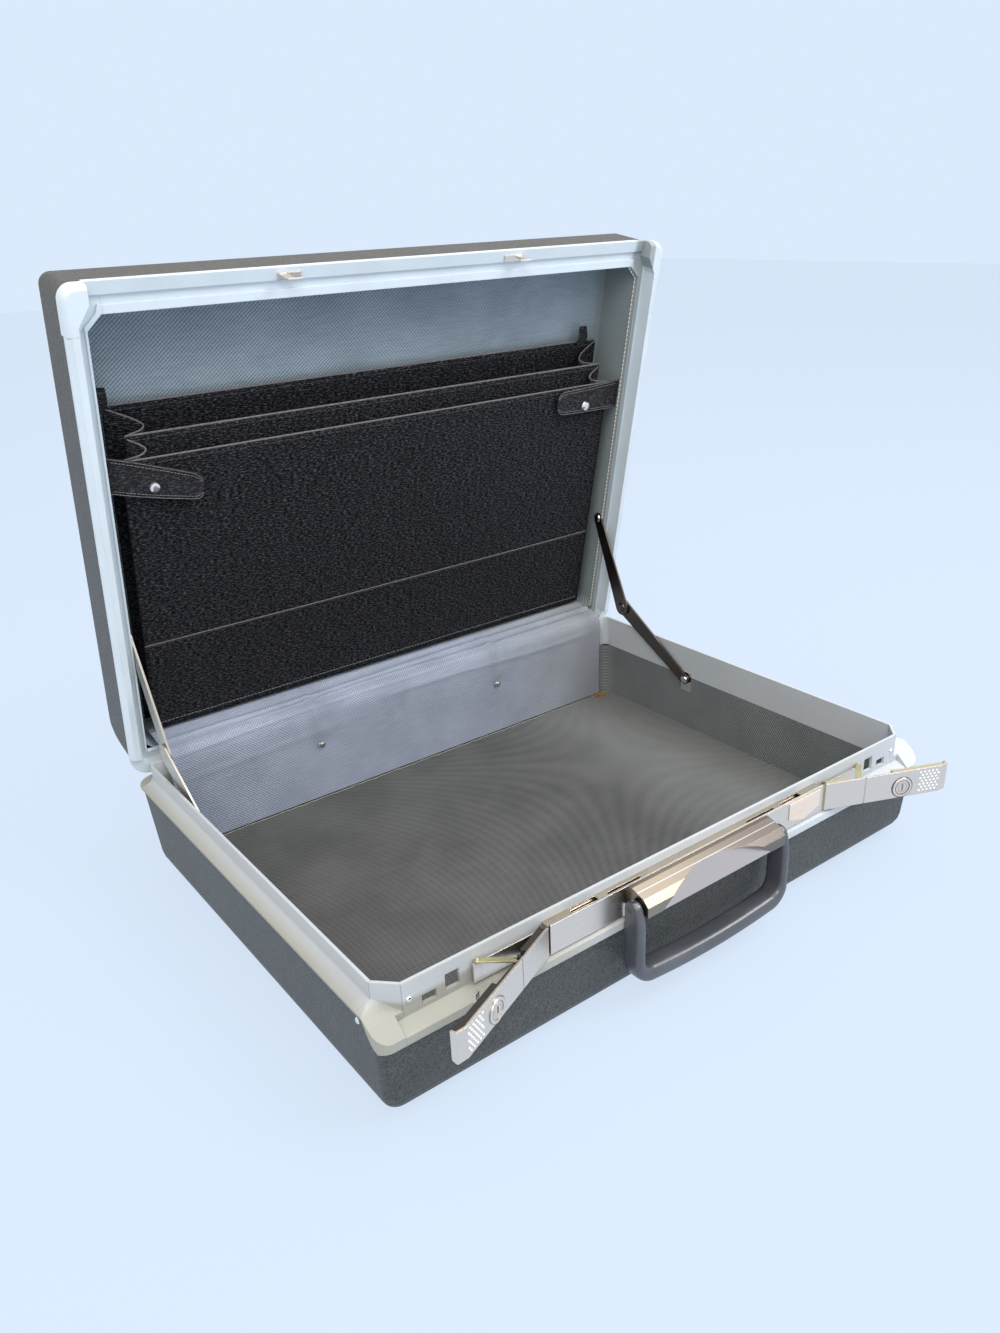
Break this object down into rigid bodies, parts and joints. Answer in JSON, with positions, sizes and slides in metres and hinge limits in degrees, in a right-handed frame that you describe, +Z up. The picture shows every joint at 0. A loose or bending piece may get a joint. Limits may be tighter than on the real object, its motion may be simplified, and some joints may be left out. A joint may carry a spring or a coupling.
{
  "type": "hard briefcase",
  "caption": "Hard-shell attache case with metal frames, hinged lid on folding stays, pocket organizer, swing latches with key locks and a drop handle.",
  "frame": {"origin": "middle of the base's underside, on the surface that the case stands on", "axes": "+X along the case's length, +Y from the handle to the hinge, +Z up"},
  "size_m": [0.46, 0.4198, 0.4112],
  "materials": {
    "shell": "grained, scuffed at the corners",
    "frame": "satin, lightly scratched",
    "lining": "woven cloth on board",
    "cover_cloth": "woven cloth",
    "leatherette": "fine grain, stitched edges",
    "nickel": "satin nickel plate",
    "badge": "satin",
    "shield": "brushed",
    "brass": "dull",
    "dark_steel": "dark, worn bright at the edges",
    "hinge_metal": "satin",
    "studs": "polished",
    "handle_plastic": "semi gloss"
  },
  "bodies": {
    "base": {"base_shell": "shell", "base_frame_front": "frame", "base_frame_left": "frame", "base_frame_right": "frame", "base_frame_rear": "frame", "base_corner_left": "frame", "base_corner_right": "frame", "floor_board": "lining", "base_wall_lining": "lining", "base_rivets": "studs", "hinge_leaf_base": "hinge_metal", "hinge_pin": "dark_steel", "hinge_cover": "cover_cloth", "cover_studs": "studs", "latch_channel": "nickel", "cover_plate": "nickel", "badge_plate": "badge", "handle_shield": "shield", "handle_pins": "dark_steel", "lever_pins": "dark_steel", "stay_base_studs": "studs"},
    "lid": {"lid_shell": "shell", "lid_frame_front": "frame", "lid_frame_left": "frame", "lid_frame_right": "frame", "lid_frame_rear": "frame", "lid_corner_left": "frame", "lid_corner_right": "frame", "lid_lining": "lining", "lid_rivets": "studs", "hinge_leaf_lid": "hinge_metal", "strikes": "nickel", "organizer_back": "leatherette", "organizer_middle": "leatherette", "organizer_front": "leatherette", "gusset_left": "leatherette", "gusset_right": "leatherette", "strap_left": "leatherette", "strap_right": "leatherette", "strap_studs": "studs", "organizer_tabs": "leatherette", "stay_lid_studs": "studs"},
    "stay_lower_left": {"stay_lower_left": "dark_steel"},
    "stay_upper_left": {"stay_upper_left": "dark_steel"},
    "lever_left": {"lever_left": "nickel", "lever_carrier_left": "dark_steel", "lock_bezel_left": "nickel"},
    "key_left": {"key_plug_left": "nickel"},
    "slide_left": {"latch_slide_left": "nickel"},
    "link_left": {"latch_link_left": "brass"},
    "stay_lower_right": {"stay_lower_right": "dark_steel"},
    "stay_upper_right": {"stay_upper_right": "dark_steel"},
    "lever_right": {"lever_right": "nickel", "lever_carrier_right": "dark_steel", "lock_bezel_right": "nickel"},
    "key_right": {"key_plug_right": "nickel"},
    "slide_right": {"latch_slide_right": "nickel"},
    "link_right": {"latch_link_right": "brass"},
    "handle": {"handle": "handle_plastic"}
  },
  "joints": [
    {"name": "lid_hinge", "type": "hinge", "parent": "base", "child": "lid", "pos_m": [0, 0.1671, 0.0737], "axis": [1, 0, 0], "range_deg": [0, 79], "deforming": ["hinge_cover"]},
    {"name": "stay_lower_left_turn", "type": "hinge", "parent": "base", "child": "stay_lower_left", "pos_m": [-0.216, 0.0531, 0.055], "axis": [-1, 0, 0], "range_deg": [0, 23.06]},
    {"name": "stay_upper_left_turn", "type": "hinge", "parent": "lid", "child": "stay_upper_left", "pos_m": [-0.2141, 0.16413, 0.17805], "axis": [1, 0, 0], "range_deg": [0, 17.53]},
    {"name": "lever_left_swing", "type": "hinge", "parent": "base", "child": "lever_left", "pos_m": [-0.1208, -0.166, 0.0684], "axis": [0, 0, -1], "range_deg": [0, 23.5]},
    {"name": "slide_left_travel", "type": "slide", "parent": "base", "child": "slide_left", "axis": [-1, 0, 0], "range_m": [0, 0.00659]},
    {"name": "link_left_turn", "type": "hinge", "parent": "slide_left", "child": "link_left", "pos_m": [-0.163, -0.1627, 0.0768], "axis": [0, 0, 1], "range_deg": [0, 30.12]},
    {"name": "key_left_turn", "type": "hinge", "parent": "lever_left", "child": "key_left", "pos_m": [-0.17362, -0.18897, 0.0684], "axis": [-0.3987, 0.9171, 0], "range_deg": [0, 90]},
    {"name": "stay_lower_right_turn", "type": "hinge", "parent": "base", "child": "stay_lower_right", "pos_m": [0.216, 0.0531, 0.055], "axis": [-1, 0, 0], "range_deg": [0, 23.06]},
    {"name": "stay_upper_right_turn", "type": "hinge", "parent": "lid", "child": "stay_upper_right", "pos_m": [0.2141, 0.16413, 0.17805], "axis": [1, 0, 0], "range_deg": [0, 17.53]},
    {"name": "lever_right_swing", "type": "hinge", "parent": "base", "child": "lever_right", "pos_m": [0.1208, -0.166, 0.0684], "axis": [0, 0, 1], "range_deg": [0, 23.5]},
    {"name": "slide_right_travel", "type": "slide", "parent": "base", "child": "slide_right", "axis": [1, 0, 0], "range_m": [0, 0.00659]},
    {"name": "link_right_turn", "type": "hinge", "parent": "slide_right", "child": "link_right", "pos_m": [0.163, -0.1627, 0.0768], "axis": [0, 0, -1], "range_deg": [0, 30.12]},
    {"name": "key_right_turn", "type": "hinge", "parent": "lever_right", "child": "key_right", "pos_m": [0.17362, -0.18897, 0.0684], "axis": [0.3987, 0.9171, 0], "range_deg": [0, 90]},
    {"name": "handle_swing", "type": "hinge", "parent": "base", "child": "handle", "pos_m": [0, -0.1761, 0.0704], "axis": [-1, 0, 0], "range_deg": [0, 95]}
  ],
  "couplings": [
    {"joint": "stay_lower_left_turn", "follows": "lid_hinge", "ratio": 0.29181},
    {"joint": "stay_upper_left_turn", "follows": "lid_hinge", "ratio": 0.22179},
    {"joint": "slide_left_travel", "follows": "lever_left_swing", "m_per_rad": 0.016041},
    {"joint": "link_left_turn", "follows": "lever_left_swing", "ratio": 1.2813},
    {"joint": "stay_lower_right_turn", "follows": "lid_hinge", "ratio": 0.29181},
    {"joint": "stay_upper_right_turn", "follows": "lid_hinge", "ratio": 0.22179},
    {"joint": "slide_right_travel", "follows": "lever_right_swing", "m_per_rad": 0.016041},
    {"joint": "link_right_turn", "follows": "lever_right_swing", "ratio": 1.2813}
  ]
}
